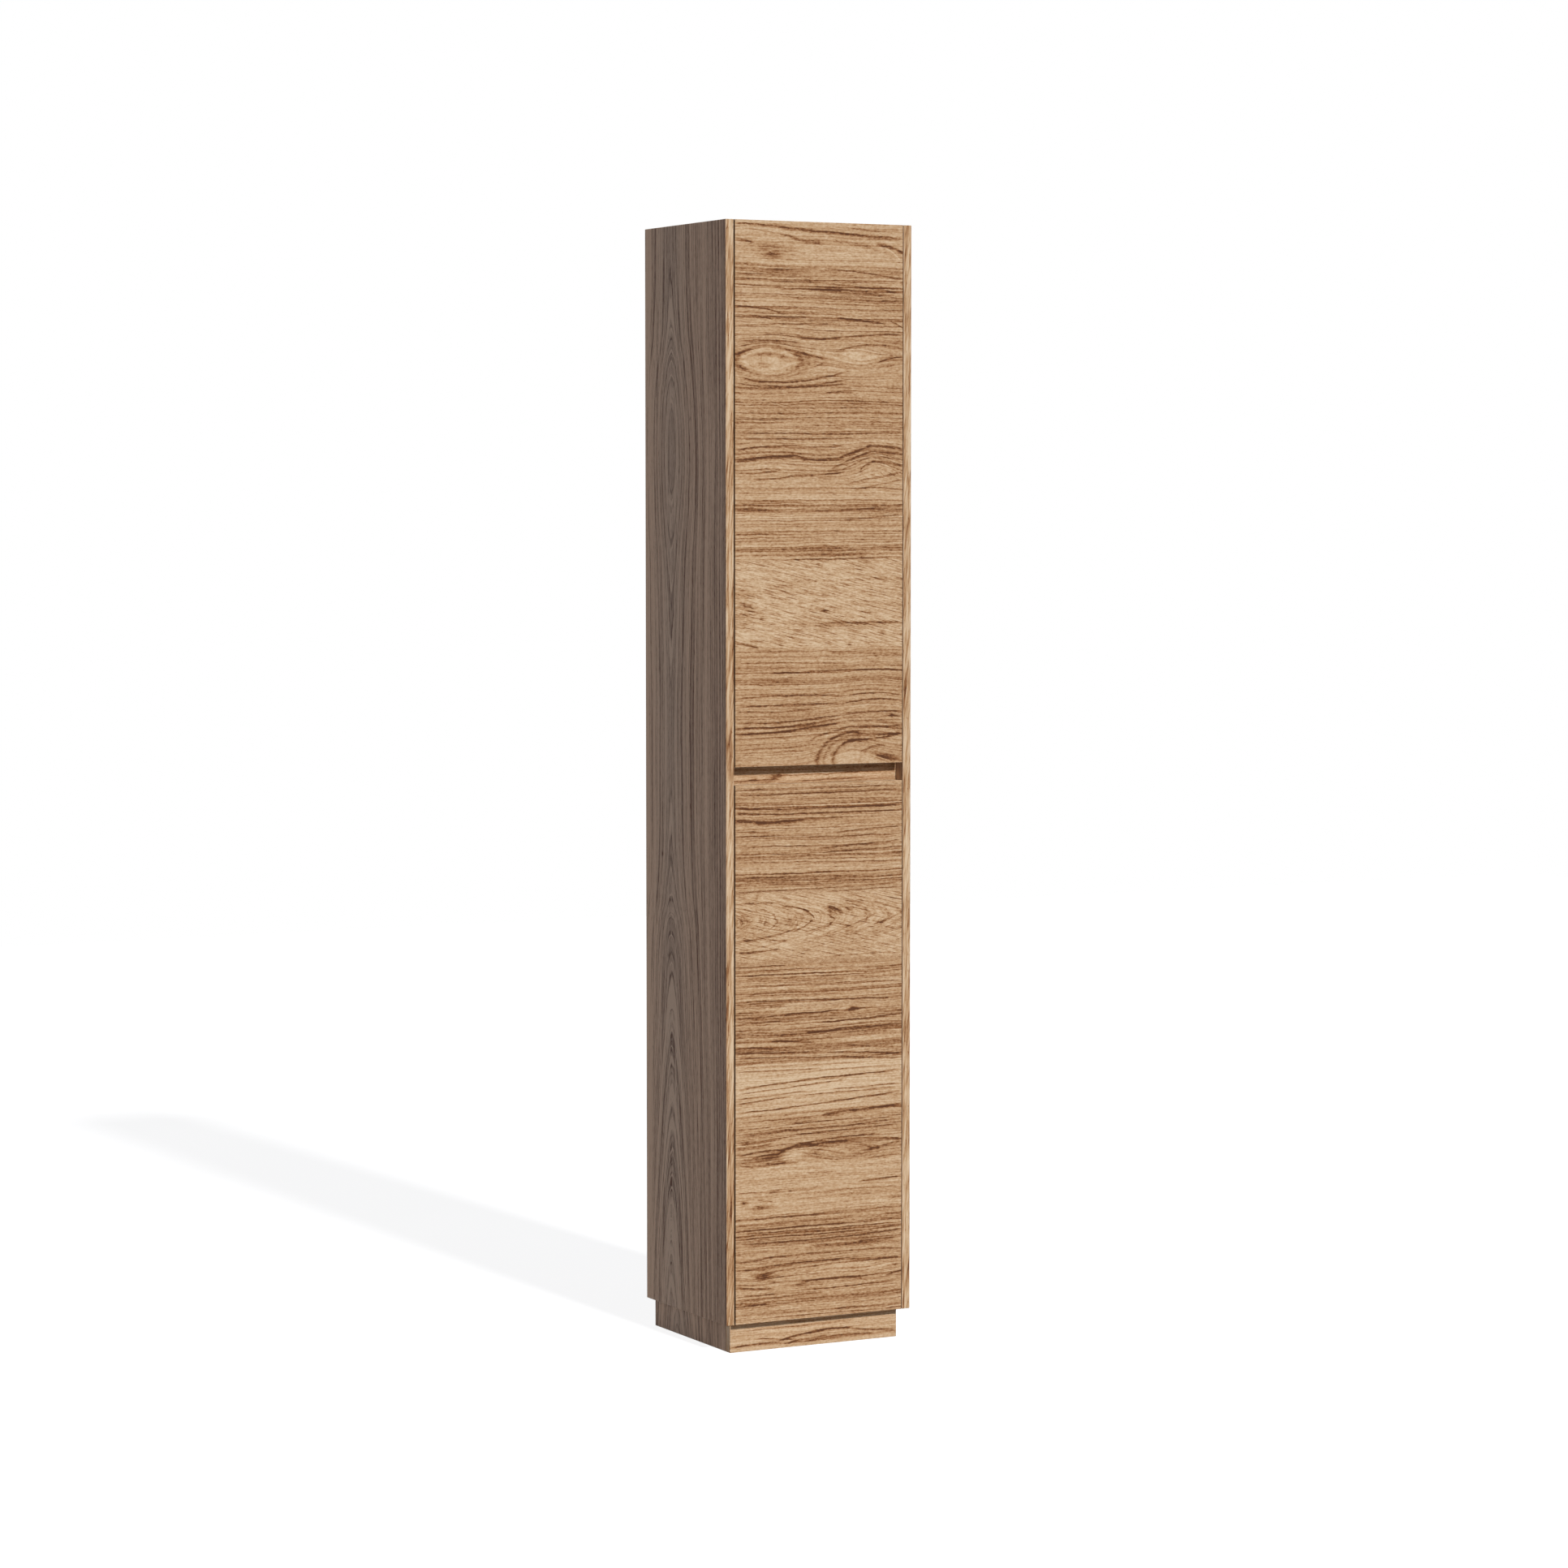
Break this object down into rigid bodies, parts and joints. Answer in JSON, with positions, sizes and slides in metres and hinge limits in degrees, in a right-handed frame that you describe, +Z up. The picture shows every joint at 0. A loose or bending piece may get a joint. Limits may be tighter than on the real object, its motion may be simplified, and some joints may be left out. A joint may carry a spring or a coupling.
{
  "type": "tall cabinet",
  "caption": "Tall narrow wood-decor cabinet on a recessed plinth, with flush inset doors that swing on concealed hinges, a finger gap between them and loose shelves inside.",
  "frame": {"origin": "on the floor, under the middle of the cabinet", "axes": "+X to the right and +Y to the back as the doors are faced, +Z up"},
  "size_m": [0.35, 0.3, 1.88],
  "materials": {
    "front_oak": "oak decor, grain across, satin",
    "side_oak": "oak decor, grain upright, satin",
    "inner_oak": "oak decor inside, satin",
    "back_board": "thin decor board, satin",
    "beech": "raw beech",
    "nickel": "nickel plated",
    "steel": "zinc plated steel",
    "zinc": "die cast zinc",
    "plastic": "brown plastic",
    "magnet": "dark sintered magnet",
    "clear_rubber": "soft pad"
  },
  "bodies": {
    "carcass": {"back_panel": "back_board", "bottom_panel": "inner_oak", "cam_bolts": "steel", "cam_locks": "zinc", "catch_screws": "steel", "door_bumpers": "clear_rubber", "dowels": "beech", "finger_rail": "front_oak", "fixed_shelf": "inner_oak", "lower_arm_screws": "steel", "lower_back_rail": "side_oak", "lower_catch_housing": "plastic", "lower_catch_magnet": "magnet", "lower_hinge_arms": "nickel", "lower_hinge_plates": "nickel", "lower_plate_screws": "steel", "lower_shelf_1": "inner_oak", "lower_shelf_2": "inner_oak", "lower_shelf_pins": "nickel", "plinth_back": "side_oak", "plinth_block_screws": "steel", "plinth_blocks": "beech", "plinth_front": "front_oak", "plinth_left": "side_oak", "plinth_right": "side_oak", "plinth_screws": "steel", "side_panel_left": "side_oak", "side_panel_right": "side_oak", "top_panel": "side_oak", "upper_arm_screws": "steel", "upper_back_rail": "side_oak", "upper_catch_housing": "plastic", "upper_catch_magnet": "magnet", "upper_hinge_arms": "nickel", "upper_hinge_plates": "nickel", "upper_plate_screws": "steel", "upper_shelf_1": "inner_oak", "upper_shelf_2": "inner_oak", "upper_shelf_pins": "nickel"},
    "upper_door": {"upper_cup_screws": "steel", "upper_door_panel": "front_oak", "upper_hinge_cups": "nickel", "upper_hinge_pins": "steel", "upper_strike_plate": "steel", "upper_strike_screws": "steel"},
    "lower_door": {"lower_cup_screws": "steel", "lower_door_panel": "front_oak", "lower_hinge_cups": "nickel", "lower_hinge_pins": "steel", "lower_strike_plate": "steel", "lower_strike_screws": "steel"}
  },
  "joints": [
    {"name": "upper_door_swing", "type": "hinge", "parent": "carcass", "child": "upper_door", "pos_m": [-0.1493, -0.1437, 1.43], "axis": [0, 0, -1], "range_deg": [0, 95]},
    {"name": "lower_door_swing", "type": "hinge", "parent": "carcass", "child": "lower_door", "pos_m": [-0.1493, -0.1437, 0.5], "axis": [0, 0, -1], "range_deg": [0, 95]}
  ]
}
